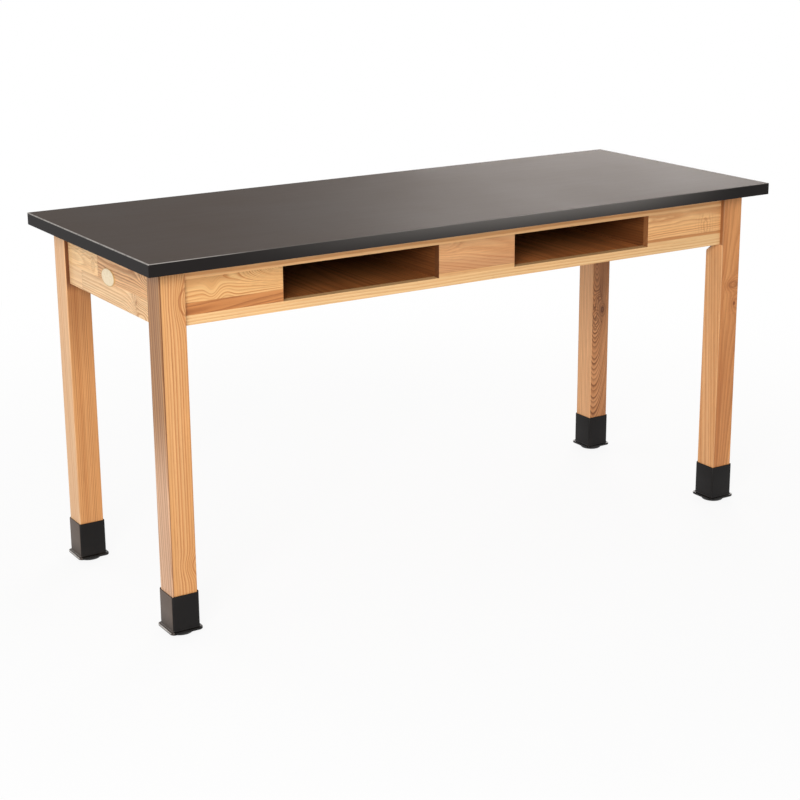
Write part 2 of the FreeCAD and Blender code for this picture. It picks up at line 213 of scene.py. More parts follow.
def buildGrowthRings(look):
    tree, given, made = newGroup("growthRings", {
        "seed": 0.0, "ringWidth": 5 * mm, "pithDepth": 0.0, "pithAcross": 0.1, "leanDepth": 0.0, "leanAcross": 0.0,
        "warp": 4 * mm, "ripple": 0.6 * mm, "lines": 0.8, "bands": 0.6, "pores": 0.45, "fibre": 0.5,
        "pale": colour(236, 190, 135), "tan": colour(220, 160, 102), "brown": colour(160, 95, 50),
    })
    place, seed = given["place"], given["seed"]
    bent = vectorCalc(tree, "ADD", place, wander(tree, place, "drift", seed, given["warp"]))
    bent = vectorCalc(tree, "ADD", bent, wander(tree, place, "tremble", seed, given["ripple"]))
    along, depth, across = axes(tree, bent)
    depth = minus(tree, depth, scaled(tree, along, given["leanDepth"], given["pithDepth"]))
    across = minus(tree, across, scaled(tree, along, given["leanAcross"], given["pithAcross"]))
    squares = calc(tree, "ADD", times(tree, depth, depth), times(tree, across, across))
    rings = calc(tree, "DIVIDE", calc(tree, "SQRT", squares), given["ringWidth"])
    rings = scaled(tree, lineNoise(tree, rings, seed, look["yearRate"]), look["yearDrift"], rings)
    yearSeed = calc(tree, "ADD", calc(tree, "FLOOR", rings), seed)
    year = addNode(tree, "TexWhiteNoise", None, yearSeed, noise_dimensions="1D")
    strong = scaled(tree, year.outputs[0], 1 - look["faintest"], look["faintest"])
    line = times(tree, stepped(tree, calc(tree, "FRACT", rings), look["profile"]), strong)
    streak = noise(tree, bent, "fibre", seed)
    dash = fade(tree, noise(tree, place, "pores", seed), 0.58, 0.72)
    dash = times(tree, dash, scaled(tree, line, 1 - look["poresInPale"], look["poresInPale"]), given["pores"])
    band = lineNoise(tree, rings, calc(tree, "ADD", seed, look["bandSeed"]), look["bandRate"])
    cloud = fade(tree, noise(tree, place, "patches", seed), 0.36, 0.66)
    cloud = times(tree, cloud, 1 - look["bandShare"])
    share = times(tree, scaled(tree, fade(tree, band, 0.34, 0.66), look["bandShare"], cloud), given["bands"])
    tint = mixColour(tree, share, given["pale"], given["tan"])
    tint = mixColour(tree, calc(tree, "MULTIPLY", line, given["lines"], clamp=True), tint, given["brown"])
    tint = mixColour(tree, dash, tint, vectorCalc(tree, "SCALE", given["brown"], scale=look["poreShade"]))
    feed(tree, made["tint"], vectorCalc(tree, "SCALE", tint, scale=sway(tree, streak, given["fibre"], 1.0)))
    gloss = scaled(tree, streak, look["fibreShine"], look["shine"])
    feed(tree, made["shine"], scaled(tree, line, look["lineShine"], gloss))
    height = minus(tree, times(tree, streak, look["fibreHeight"]), times(tree, line, look["lineDepth"]))
    feed(tree, made["relief"], minus(tree, height, times(tree, dash, look["poreDepth"])))
    return tree


def buildKnot():  # a branch: it pulls the grain aside and leaves a dark ringed core
    tree, given, made = newGroup("knot", {
        "centre": (0.0, 0.0, 0.0), "squeeze": (0.5, 0.25, 1.0), "reach": 18 * mm, "pull": (0.0, 0.0, 0.0),
        "core": 4 * mm, "barkRadius": 10 * mm, "bark": 0.0, "stain": 0.0, "fan": 0.0, "fanPitch": 5 * mm,
    }, {"place": "Vector", "mask": "Float"})
    place = given["place"]
    offset = vectorCalc(tree, "SUBTRACT", place, given["centre"])
    spread = vectorCalc(tree, "LENGTH", vectorCalc(tree, "MULTIPLY", offset, given["squeeze"]))
    share = calc(tree, "DIVIDE", spread, given["reach"])
    bump = calc(tree, "EXPONENT", times(tree, share, share, -1.0))
    feed(tree, made["place"], vectorCalc(tree, "ADD", place, vectorCalc(tree, "SCALE", given["pull"], scale=bump)))
    rough = noise(tree, place, "bark", 2.0)
    distance = calc(tree, "DIVIDE", scaled(tree, rough, 1.5 * mm, spread), given["core"])
    solid = fade(tree, distance, 0.75, 1.25, 1.0, 0.0)
    rings = scaled(tree, calc(tree, "SINE", times(tree, distance, 14.0)), 0.2, 0.8)
    ring = calc(tree, "ABSOLUTE", minus(tree, scaled(tree, rough, 2 * mm, spread), given["barkRadius"]))
    ring = times(tree, fade(tree, ring, 0.6 * mm, 3.0 * mm, 1.0, 0.0), given["bark"])
    dark = calc(tree, "MAXIMUM", times(tree, solid, rings), ring)
    streaks = fade(tree, noise(tree, place, "branch", 6.0), 0.3, 0.7, 0.4, 1.0)
    dark = calc(tree, "MAXIMUM", dark, times(tree, bump, given["stain"], streaks))
    turns = scaled(tree, rough, 1.2, calc(tree, "DIVIDE", spread, given["fanPitch"]))
    waves = fade(tree, calc(tree, "SINE", times(tree, turns, 2 * math.pi)), -0.5, 1.0)
    feed(tree, made["mask"], calc(tree, "MAXIMUM", dark, times(tree, waves, bump, given["fan"])))
    return tree


def buildBoardEdge():  # where one strip of wood ends and the next begins, waved or cut into fingers
    tree, given, made = newGroup("boardEdge", {
        "facing": (0.0, 0.0, -1.0), "side": (1.0, 0.0, 0.0), "level": 0.0, "wave": 0.0, "soft": 0.4 * mm,
        "finger": 0.0, "pitch": 4 * mm, "seed": 0.0, "jointWidth": 0.9 * mm,
    }, {"past": "Float", "joint": "Float"})
    place = given["place"]
    distance = minus(tree, vectorCalc(tree, "DOT_PRODUCT", place, given["facing"]), given["level"])
    distance = sway(tree, noise(tree, place, "seam", given["seed"]), given["wave"], distance)
    sideways = calc(tree, "DIVIDE", vectorCalc(tree, "DOT_PRODUCT", place, given["side"]), given["pitch"])
    distance = scaled(tree, calc(tree, "PINGPONG", sideways, 0.5), given["finger"], distance)
    half = times(tree, given["soft"], 0.5)
    feed(tree, made["past"], fade(tree, distance, times(tree, half, -1.0), half))
    feed(tree, made["joint"], fade(tree, calc(tree, "ABSOLUTE", distance), 0.0, given["jointWidth"], 1.0, 0.0))
    return tree


arrises = {  # the upper edges, with a painted highlight along them: how far the highlight reaches in, and its share at the near corner and past its reach
    "left": {"across": (1, 0, 1), "axis": 1, "width": 2.6 * mm, "reach": 0.6, "near": 0.9, "far": 1.0},
    "front": {"across": (0, 1, 1), "axis": 0, "width": 1.7 * mm, "reach": 0.35, "near": 0.9, "far": 0.3},
}
frontSheenPaint = {  # painted light that the front face catches, as fades upwards and along it: from, to and their shares
    "upwards": (-34 * mm, 12 * mm, 0.085, 0.335), "rise": (0.08, 0.92, 0.0, 1.0), "fall": (1.07, 1.46, 1.0, 0.0),
}


def buildResin():  # a pressed resin slab: soft clouds, fine speckle and wiping marks, with a painted warm sheen on its top face, painted highlights along its upper edges and a painted sheen on its front face
    tree, given, made = newGroup("resinFinish", {
        "base": colour(34, 32, 32), "lift": colour(48, 44, 42), "film": colour(60, 48, 40), "filmFrom": 0.0,
        "shine": 0.5, "corner": (0.0, 0.0, 0.0), "wearAndHighlight": colour(150, 145, 140),
    })
    place = given["place"]
    cloud, speckle = noise(tree, place, "resinCloud", 4.0), noise(tree, place, "speckle", 1.0)
    wipes = noise(tree, place, "wipes", 7.0)
    tint = mixColour(tree, fade(tree, cloud, 0.35, 0.65), given["base"], given["lift"])
    # a painted sheen: the top face is tinted a warm brown in cloudy patches, standing in for the warm sheen it
    # catches
    level = fade(tree, axes(tree, place)[2], given["filmFrom"], calc(tree, "ADD", given["filmFrom"], 1 * mm))
    tint = mixColour(tree, times(tree, level, scaled(tree, cloud, 0.5, 0.6)), tint, given["film"])
    tint = vectorCalc(tree, "SCALE", tint, scale=sway(tree, speckle, 0.35, 1.0))
    offset = vectorCalc(tree, "SUBTRACT", place, given["corner"])  # from the near left top corner
    beyond = axes(tree, offset)
    # a painted highlight along the upper left and front edges, broken up by the wiping marks
    for arris in arrises.values():
        distance = vectorCalc(tree, "LENGTH", vectorCalc(tree, "MULTIPLY", offset, arris["across"]))
        paintedHighlight = fade(tree, distance, 0.4 * arris["width"], arris["width"], 1.0, 0.0)
        along = fade(tree, beyond[arris["axis"]], 0.0, arris["reach"], arris["near"], arris["far"])
        paintedHighlight = times(tree, paintedHighlight, along, fade(tree, wipes, 0.3, 0.6, 0.5, 1.0))
        tint = mixColour(tree, paintedHighlight, tint, given["wearAndHighlight"])
    # a painted sheen on the front face, in the pale colour of the edge highlight
    front = fade(tree, beyond[1], 0.2 * mm, 0.6 * mm, 1.0, 0.0)
    paintedFrontSheen = times(tree, front, fade(tree, beyond[2], *frontSheenPaint["upwards"]))
    rise, fall = (fade(tree, beyond[0], *frontSheenPaint[part]) for part in ("rise", "fall"))
    paintedFrontSheen = times(tree, paintedFrontSheen, times(tree, rise, fall))
    feed(tree, made["tint"], mixColour(tree, paintedFrontSheen, tint, given["wearAndHighlight"]))
    feed(tree, made["shine"], sway(tree, wipes, 0.06, sway(tree, cloud, 0.12, given["shine"])))
    feed(tree, made["relief"], scaled(tree, speckle, 0.7, times(tree, cloud, 0.3)))
    return tree


def buildMoulded():  # moulded rubber or plastic: fine grain, flow clouds and a little dust that settles low, with a painted sheen on one side and a painted highlight along a rim
    tree, given, made = newGroup("mouldedFinish", {
        "base": colour(30, 28, 27), "dust": colour(84, 78, 72), "dusty": 0.25, "dustFrom": 0.0, "dustTo": 0.03,
        "shine": 0.55, "paintedSideSheen": colour(92, 82, 76), "sheenSide": -1.0, "glossyBelow": 0.0, "glossy": 0.25,
        "rimSide": -10.0, "rimFrom": 3.4 * mm, "rim": colour(205, 200, 195),
    })
    split = axes(tree, given["place"])
    sideways, upward = split[0], split[2]
    cloud = noise(tree, given["place"], "flow", 5.0)
    low = fade(tree, upward, given["dustFrom"], given["dustTo"], 1.0, 0.0)
    share = times(tree, fade(tree, cloud, 0.4, 0.75), low, given["dusty"])
    tint = mixColour(tree, share, given["base"], given["dust"])
    # a painted sheen on the faces past the given side, stronger higher up
    side = fade(tree, sideways, given["sheenSide"], calc(tree, "ADD", given["sheenSide"], 0.8 * mm), 1.0, 0.0)
    side = times(tree, side, fade(tree, upward, 8 * mm, 50 * mm, 0.45, 1.0))
    tint = mixColour(tree, side, tint, given["paintedSideSheen"])
    # a painted highlight along the rim's upper edge, on the faces past the rim side
    paintedHighlight = fade(tree, sideways, given["rimSide"], calc(tree, "ADD", given["rimSide"], 0.5 * mm), 1.0, 0.0)
    rimLevel = minus(tree, upward, given["rimFrom"])
    paintedHighlight = times(tree, paintedHighlight, fade(tree, rimLevel, -0.4 * mm, 0.4 * mm))
    paintedHighlight = times(tree, paintedHighlight, fade(tree, rimLevel, 2.4 * mm, 3.2 * mm, 1.0, 0.0))
    paintedHighlight = times(tree, paintedHighlight, fade(tree, cloud, 0.3, 0.55, 0.4, 0.85))
    tint = mixColour(tree, paintedHighlight, tint, given["rim"])
    feed(tree, made["tint"], vectorCalc(tree, "SCALE", tint, scale=sway(tree, cloud, 0.3, 1.0)))
    matt = fade(tree, upward, given["glossyBelow"], calc(tree, "ADD", given["glossyBelow"], 4 * mm))
    gloss = mixValue(tree, matt, given["glossy"], given["shine"])
    feed(tree, made["shine"], sway(tree, cloud, 0.15, gloss))
    feed(tree, made["relief"], noise(tree, given["place"], "mould", 9.0))
    return tree


def buildZinc():  # zinc plating: crystals, rolling lines and dull patches
    tree, given, made = newGroup("zincPlating", {
        "bright": colour(190, 200, 214), "dull": colour(140, 148, 160), "shine": 0.3, "crystal": 260.0,
    })
    cells = addNode(tree, "TexVoronoi", given["place"], None, given["crystal"])
    facet = addNode(tree, "SeparateColor", cells.outputs["Color"])
    rolled, patch = noise(tree, given["place"], "rolling", 3.0), noise(tree, given["place"], "dullPatch", 6.0)
    share = scaled(tree, facet.outputs[0], 0.45, times(tree, fade(tree, patch, 0.4, 0.7), 0.55))
    feed(tree, made["tint"], mixColour(tree, share, given["bright"], given["dull"]))
    gloss = sway(tree, patch, 0.3, given["shine"])
    feed(tree, made["shine"], sway(tree, facet.outputs[1], 0.12, gloss))
    feed(tree, made["relief"], scaled(tree, rolled, 0.6, times(tree, patch, 0.4)))
    return tree


growthRings = buildGrowthRings(ringLook)
knotGroup = buildKnot()
boardEdge = buildBoardEdge()
resinFinish = buildResin()
mouldedFinish = buildMoulded()
zincPlating = buildZinc()
print("shader groups built")


# Materials

def startMaterial(name, shader, centre=(0, 0, 0), turn=(0, 0, 0)):
    material = bpy.data.materials.new(name)
    material.use_nodes = True
    tree = material.node_tree
    feedAll(tree, tree.nodes["Principled BSDF"], shader)
    shift = -(Euler(turn).to_matrix() @ Vector(centre))
    mapping = addNode(tree, "Mapping", addNode(tree, "TexCoord").outputs["Object"], shift, turn)
    return material, tree, mapping.outputs[0]


def finishMaterial(tree, tint, shine, relief, depth):
    bump = addNode(tree, "Bump")
    feedAll(tree, bump, {"Distance": depth, "Height": relief})
    feedAll(tree, tree.nodes["Principled BSDF"], {"Base Color": tint, "Roughness": shine, "Normal": bump.outputs[0]})


def onePartMaterial(name, group, shader, depth, **values):
    material, tree, place = startMaterial(name, shader)
    made = placeGroup(tree, group, place=place, **values)
    finishMaterial(tree, made["tint"], made["shine"], made["relief"], depth)
    return material


lacquer = {"Specular IOR Level": 0.3, "Coat Weight": 0.06, "Coat Roughness": 0.35}
grainTurns = {  # how each board's grain is turned onto X
    "X": (0.0, 0.0, 0.0),
    "Y": (0.0, 0.0, -math.pi / 2),
    "Z": (0.0, math.pi / 2, 0.0),
}
knotColour, glueColour = colour(88, 44, 18), colour(158, 98, 48)
grainRelief = 0.25 * mm


def makeWood(name, grain, centre, woods, edges=(), knots=(), knotTint=knotColour):
    # each later wood lies past its own edge, and past the one before too if it is inside; knots spare a calm wood
    material, tree, place = startMaterial(name, lacquer, centre, grainTurns[grain])
    flat, core = place, None
    for knot in knots:
        made = placeGroup(tree, knotGroup, place=place, **knot)
        place = made["place"]
        core = made["mask"] if core is None else calc(tree, "MAXIMUM", core, made["mask"])
    rings = placeGroup(tree, growthRings, place=place, **woods[0])
    tint, shine, relief = rings["tint"], rings["shine"], rings["relief"]
    covered = 1.0
    for wood, edge in zip(woods[1:], edges):
        edge, wood = dict(edge), dict(wood)
        glued, inside, calm = edge.pop("glued", 0.0), edge.pop("inside", False), wood.pop("calm", False)
        seam = edge.pop("seam", glueColour)
        strip = placeGroup(tree, boardEdge, place=flat, **edge)
        other = placeGroup(tree, growthRings, place=flat if calm else place, **wood)
        covered = times(tree, strip["past"], covered if inside else 1.0)
        if calm and core is not None:
            core = times(tree, core, minus(tree, 1.0, covered))
        tint = mixColour(tree, covered, tint, other["tint"])
        shine = mixValue(tree, covered, shine, other["shine"])
        relief = mixValue(tree, covered, relief, other["relief"])
        tint = mixColour(tree, times(tree, strip["joint"], glued), tint, seam)
    if core is not None:
        tint = mixColour(tree, core, tint, knotTint)
    finishMaterial(tree, tint, shine, relief, grainRelief)
    return material


def dress(node, material):  # a CAD node keeps its shape and gets its finish
    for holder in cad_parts[node].material_slots:
        holder.material = material


def centreOf(node):
    low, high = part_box(node)
    return (low + high) / 2


# Wood of each piece. The numbers are millimetres from the board's centre: along the grain, in depth and across it.

toneNames = ("pale", "tan", "brown")
lengthNames = ("ringWidth", "pithDepth", "pithAcross", "warp", "ripple", "level", "wave", "soft", "finger", "pitch",
               "jointWidth", "centre", "pull", "reach", "core", "barkRadius", "fanPitch")


def metres(values):  # the same settings with their lengths turned from millimetres into metres
    made = dict(values)
    for label, value in values.items():
        if label in lengthNames:
            made[label] = tuple(part * mm for part in value) if isinstance(value, tuple) else value * mm
    return made


def woodOf(base, tones=(), pith=(), **changes):  # a wood changed from another, with the place of its pith
    changes.update(zip(("pithDepth", "pithAcross"), pith))
    return {**base, **metres(changes), **{label: colour(*tone) for label, tone in zip(toneNames, tones)}}


def edgeOf(base, **changes):
    return {**base, **metres(changes)}


def knotAt(centre, reach, squeeze, core=0.2, **changes):
    return metres({"centre": centre, "reach": reach, "squeeze": squeeze, "core": core, **changes})


ash = woodOf({}, ((236, 188, 128), (224, 164, 100), (186, 110, 54)), ringWidth=5.6, lines=0.8, warp=5, ripple=0.8)
amber = woodOf(ash, ((227, 173, 115), (213, 150, 88), (178, 100, 45)))
pinkish = woodOf(ash, ((231, 176, 124), (210, 150, 102), (164, 98, 56)))
straw = woodOf(ash, ((242, 202, 146), (232, 178, 116), (204, 134, 74)), lines=0.7)
russet = woodOf(ash, ((206, 140, 78), (188, 118, 60), (140, 76, 34)))

# the dark colour is a glue line between planks; the pale one paints a highlight along a leg's arris
darkSeam, paintedArrisHighlight = colour(92, 44, 20), colour(250, 208, 160)
legFace, frontFace, endFace = -27, -9.5, 9.5  # depth of the outer faces of the legs, the front and the left apron
lower = edgeOf({}, facing=(-1.0, 0.0, 0.0), soft=190)  # further down a leg, where a paler wood paints the light the lower leg catches
upper = edgeOf({}, facing=(1.0, 0.0, 0.0), soft=30)  # at the top of a leg, where darker woods paint the shade under the worktop and beside the aprons
frontSide = edgeOf({}, facing=(0.0, -1.0, 0.0), level=25.2, soft=1)
leftSide = edgeOf({}, facing=(0.0, 0.0, 1.0), level=25.2, wave=1.2, soft=1)
below, above = {"facing": (0.0, 0.0, -1.0)}, {"facing": (0.0, 0.0, 1.0)}  # on a front board
endGrain = edgeOf({}, facing=(-1.0, 0.0, 0.0), soft=0.4)  # the sawn end of a block, at the side of an opening
fingers = edgeOf({}, facing=(1.0, 0.0, 0.0), side=(0.0, 0.0, 1.0), finger=9, pitch=3.8, glued=0.75)

frontLeftSide = woodOf(pinkish, ((182, 134, 88), (160, 111, 69), (121, 73, 40)), (60, 40), seed=5.7, ringWidth=9,
                       leanDepth=0.05, lines=0.9, warp=12, calm=True)
backLeftFace = woodOf(russet, ((228, 168, 108), (208, 144, 86), (172, 102, 50)), (-10, -140), seed=8.3, ringWidth=3.8)
frontRightFace = woodOf(russet, ((229, 160, 98), (198, 127, 72), (152, 86, 42)), (60, -40), seed=21.2, ringWidth=5,
                        leanDepth=0.05, leanAcross=0.02, warp=16, ripple=1.6, lines=0.5, bands=1.0)
backRightFace = woodOf(russet, ((222, 158, 106), (186, 122, 72), (104, 56, 26)), (-53, 14), seed=12.4, ringWidth=1.75,
                       leanDepth=0.12, warp=7, ripple=0.7, lines=0.9)
legWoods = {
    "front_left": {
        "woods": [woodOf(amber, pith=(-20, 170), seed=3.1, ringWidth=6.2, warp=5, leanAcross=0.004),
                  frontLeftSide,
                  # paler towards the foot of the left face: painted light
                  woodOf(frontLeftSide, ((228, 184, 148), (208, 162, 126), (172, 124, 90)))],
        "edges": [edgeOf(leftSide, level=24.6, wave=0.5, glued=0.9, seam=darkSeam, jointWidth=2.1),
                  edgeOf(lower, level=-5, inside=True)],
        "knotTint": colour(150, 78, 32),
        "knots": [knotAt((297, legFace, -36), 28, (0.78, 0.3, 1.0), 1.2, pull=(0, 0, -24), barkRadius=24, bark=0.5),
                  knotAt((-232, legFace, -30), 17, (0.8, 1.1, 0.6), 2.6, pull=(0, 0, -15))],
    },
    "back_left": {
        "woods": [backLeftFace,
                  # darker towards the top of the front face and darkest beside the apron: painted shade
                  woodOf(backLeftFace, ((196, 138, 86), (176, 116, 66), (142, 80, 38))),
                  woodOf(backLeftFace, ((122, 72, 40), (102, 58, 30), (76, 40, 20))),
                  woodOf(straw, ((240, 196, 148), (228, 176, 128), (200, 140, 92)), (80, 50), seed=9.9, ringWidth=7,
                         leanDepth=0.03)],
        "edges": [edgeOf(upper, level=120, soft=260), edgeOf(upper, level=240), leftSide],
    },
    "back_right": {
        "woods": [woodOf(russet, ((216, 154, 104), (198, 134, 86), (150, 88, 48)), (-80, -60), seed=15.0,
                         ringWidth=4),
                  backRightFace,
                  # darker towards the top of the front face: painted shade
                  woodOf(backRightFace, ((180, 120, 74), (144, 88, 50), (78, 40, 18))),
                  woodOf(pinkish, ((242, 190, 138), (222, 164, 112)), (90, 60), seed=13.8, ringWidth=5, calm=True)],
        "edges": [frontSide, edgeOf(upper, level=90, soft=220, inside=True), leftSide],
        "knots": [knotAt((27, legFace, 8), 10, (0.5, 0.3, 1.0), 2.6, pull=(0, 4, 0)),
                  knotAt((-3, legFace, -6), 16, (0.6, 0.3, 1.0), 7.5, pull=(0, 7, 4), barkRadius=11, bark=0.5),
                  knotAt((40, legFace, -3), 13, (0.22, 0.3, 1.0), pull=(0, -4, 0), stain=0.75),
                  knotAt((-34, legFace, -4), 8, (0.6, 0.3, 1.0), 2.6, stain=0.35),
                  knotAt((-24, legFace, 14), 22, (0.55, 0.3, 0.9), pull=(0, -2, 0), fan=0.7, fanPitch=4.6)],
    },
    "front_right": {
        "woods": [frontRightFace,
                  woodOf(frontRightFace, ((214, 144, 86), (184, 112, 58))),
                  woodOf(amber, ((234, 180, 126),), (50, 50), seed=23.5, ringWidth=9, leanDepth=0.05, lines=0.5,
                         warp=14, calm=True),
                  # a darker strip on the left face above the apron's bottom edge: painted shade beside the apron
                  woodOf(amber, ((176, 118, 72), (154, 98, 56), (118, 70, 36)), seed=23.5, calm=True)],
        # the pale line along this leg's left arris is a painted highlight
        "edges": [edgeOf(above, level=12, wave=14, soft=7, seed=3.0), edgeOf(leftSide, glued=0.6, seam=paintedArrisHighlight),
                  edgeOf(upper, level=248, soft=2, inside=True)],
        "knotTint": colour(118, 58, 20),
        "knots": [knotAt((107, legFace, -17), 15, (0.8, 0.6, 1.0), 4.2, pull=(0, 14, 12), stain=0.1),
                  knotAt((152, legFace, -12), 13, (0.9, 0.6, 0.5), pull=(0, 16, 0), barkRadius=7, bark=0.35),
                  knotAt((324, legFace, 22), 20, (0.6, 0.3, 1.0), pull=(0, 12, 20), stain=0.12)],
    },
}

jambWood = woodOf(russet, ((168, 112, 68), (146, 94, 54), (110, 64, 34)), (40, 10), seed=45.0, ringWidth=3, lines=0.5)
centreFace = woodOf(amber, ((236, 182, 128), (216, 152, 98), (190, 118, 66)), (40, 30), seed=38.0, ringWidth=4.6,
                    leanAcross=-0.2, lines=0.55, warp=10)
rightFace = woodOf(amber, ((250, 196, 134), (236, 172, 106)), (36, 26), seed=41.0, ringWidth=2.8, leanAcross=0.02,
                   warp=9, ripple=2.6, lines=0.7)
frontWoods = {
    "front_top_rail": {
        # coloured paler to paint in light where the worktop's overhang shades it
        "woods": [woodOf(russet, ((255, 200, 138), (252, 184, 116), (220, 142, 80)), (70, -30), seed=31.0,
                         ringWidth=4.5)],
    },
    "front_bottom_rail": {
        "woods": [woodOf(straw, pith=(60, -40), seed=33.0, ringWidth=3.2, lines=0.6)],
    },
    "front_block_left": {
        "woods": [woodOf(straw, ((241, 194, 132), (224, 163, 97), (190, 112, 50)), (70, 34), seed=35.0, ringWidth=2.6,
                         leanAcross=0.04, warp=9, ripple=1.4, lines=1.0),
                  woodOf(russet, ((218, 150, 90), (194, 124, 68), (142, 80, 38)), (40, -20), seed=36.0, ringWidth=1.7,
                         leanAcross=0.08, warp=3, bands=1.0, lines=1.0, calm=True)],
        "edges": [edgeOf(below, level=10.5, wave=4, soft=1.6, seed=2.0)],
        "knots": [knotAt((113, frontFace, 38), 24, (0.36, 0.5, 1.0), pull=(0, 46, 0)),
                  knotAt((-17, frontFace, 0), 14, (0.8, 0.5, 0.7), pull=(0, 0, -9)),
                  knotAt((-10, frontFace, 26), 10, (0.8, 0.5, 0.9), 0.8, pull=(0, 0, 5)),
                  knotAt((-46, frontFace, 12), 14, (1.1, 0.5, 0.6), pull=(0, 0, 16))],
    },
    "front_block_centre": {
        "woods": [centreFace,
                  # darker towards the bottom of the face: painted shade
                  woodOf(centreFace, ((217, 162, 113), (199, 135, 86), (175, 104, 58))),
                  woodOf(straw, pith=(50, -20), seed=39.0, ringWidth=3.4),
                  woodOf(jambWood, ((120, 74, 42), (98, 58, 32), (70, 38, 20)))],
        "edges": [edgeOf(below, level=0, soft=26), edgeOf(below, level=26, wave=1, soft=0.6, glued=0.5),
                  edgeOf(endGrain, level=94.9)],
        "knots": [knotAt((-84, frontFace, 34), 26, (0.7, 0.5, 1.0), pull=(0, 14, 0))],
    },
    "front_block_right": {
        "woods": [rightFace,
                  # paler at the top, just under the worktop: painted light
                  woodOf(rightFace, ((255, 208, 148), (252, 188, 122), (200, 124, 66)), calm=True),
                  woodOf(russet, ((222, 158, 98), (206, 140, 80)), (50, -14), seed=42.0, ringWidth=3.4, calm=True),
                  woodOf(straw, pith=(50, -30), seed=43.0, ringWidth=3.6, calm=True),
                  jambWood],
        "edges": [edgeOf(above, level=20, soft=16), edgeOf(below, level=20, wave=6, soft=1.4, seed=4.0),
                  edgeOf(below, level=27, wave=2, soft=1, glued=0.3), edgeOf(endGrain, level=105.9)],
        "knotTint": colour(176, 104, 50),
        "knots": [knotAt((62, frontFace, -6), 22, (1.0, 0.5, 0.35), fan=0.38, fanPitch=8)],
    },
}

endKnotTint = colour(158, 94, 46)
endWoods = {
    "left_apron_upper": {
        "woods": [woodOf(pinkish, ((238, 188, 134), (220, 164, 110), (168, 106, 58)), (-50, 14), seed=51.0,
                         ringWidth=2.4, warp=14, ripple=1.6, lines=0.9, pores=0.9, fibre=1.0),
                  woodOf(ash, ((252, 212, 156), (243, 190, 134), (206, 144, 90)), (-60, -20), seed=53.0,
                         ringWidth=2.6, warp=12, ripple=1.6, lines=0.6, pores=0.9, fibre=1.0)],
        "edges": [edgeOf(fingers, level=54)],
        "knotTint": endKnotTint,
        "knots": [knotAt((-190, endFace, 6), 20, (0.6, 0.4, 1.0), pull=(0, -9, 0)),
                  knotAt((76, endFace, -12), 8, (1.0, 0.4, 0.5), pull=(0, -3, 0), stain=0.35),
                  knotAt((175, endFace, 2), 26, (0.6, 0.4, 1.0), pull=(0, -5, 8))],
    },
    "left_apron_lower": {
        "woods": [woodOf(straw, ((244, 206, 156), (232, 184, 130), (192, 134, 82)), (-60, -18), seed=55.0,
                         ringWidth=3, warp=8, lines=1.0, pores=0.8, fibre=0.9),
                  woodOf(straw, ((246, 210, 162), (236, 190, 138), (198, 142, 92)), (-50, 30), seed=57.0,
                         ringWidth=2.8, lines=0.9, pores=0.8, fibre=0.9),
                  woodOf(straw, ((248, 208, 158), (236, 186, 134), (202, 144, 96)), (-24, 0), seed=59.0,
                         ringWidth=3, warp=16, lines=0.7)],
        "edges": [edgeOf(fingers, level=-129), edgeOf(fingers, level=140)],
        "knotTint": endKnotTint,
        "knots": [knotAt((-131, endFace, 6), 12, (0.9, 0.4, 0.6), 3.6, pull=(0, -5, 0), stain=0.3),
                  knotAt((-158, endFace, -22), 26, (0.5, 0.4, 0.8), pull=(0, -16, 0))],
    },
}
plainBoards = {
    "right_apron_upper": "Y", "right_apron_lower": "Y", "back_apron_upper": "X", "back_apron_lower": "X",
}

for grain, prefix, title, table in (("Z", "leg_", "legWood_", legWoods), ("X", "", "wood_", frontWoods),
                                    ("Y", "", "wood_", endWoods)):
    for key, settings in table.items():
        dress(prefix + key, makeWood(title + key, grain, centreOf(prefix + key), **settings))
for count, (node, grain) in enumerate(plainBoards.items()):
    seed = 61.0 + 2 * count
    woods = [woodOf(ash, pith=(55, 18 - 9 * count), seed=seed, ringWidth=5, warp=10),
             woodOf(amber, pith=(50, -22), seed=seed + 1, ringWidth=4.4, warp=9)]
    dress(node, makeWood("wood_" + node, grain, centreOf(node), woods, [edgeOf(fingers, level=60 - 70 * count)]))
print("boards and legs have their wood")

stainedPly = woodOf({}, ((136, 82, 42), (106, 60, 29), (62, 33, 16)), (20, 120), ringWidth=6, warp=14, lines=0.5)
# the floors are paler than the side panels, and the right floor paler still: painted light falling in through the
# openings
floorTones = {
    "left_compartment_floor": ((190, 118, 62), (152, 90, 45), (92, 50, 24)),
    "right_compartment_floor": ((224, 140, 77), (180, 108, 57), (110, 61, 31)),
}
compartmentNodes = sorted(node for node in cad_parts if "compartment" in node)
for count, node in enumerate(compartmentNodes):
    ply = woodOf(stainedPly, floorTones.get(node, ()), seed=71.0 + count)
    dress(node, makeWood("ply_" + node, "Y", centreOf(node), [ply]))

metal = {"Metallic": 1.0}
zincSheet = onePartMaterial("zincSheet", zincPlating, metal, depth=0.05 * mm, shine=0.32)
zincFastener = onePartMaterial("zincFastener", zincPlating, metal, depth=0.03 * mm, shine=0.26, crystal=700.0)
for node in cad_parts:
    if node.startswith("corner_bracket") or node == "worktop_angles":
        dress(node, zincSheet)
    elif "screws" in node or node.startswith("hanger") or node == "glide_inserts":
        dress(node, zincFastener)
print("compartments and fittings have their finish")


# New pieces

weld = 0.001 * mm  # points closer than this become one


def smoothFaces(bm):
    bmesh.ops.recalc_face_normals(bm, faces=bm.faces)
    for face in bm.faces:
        face.smooth = True


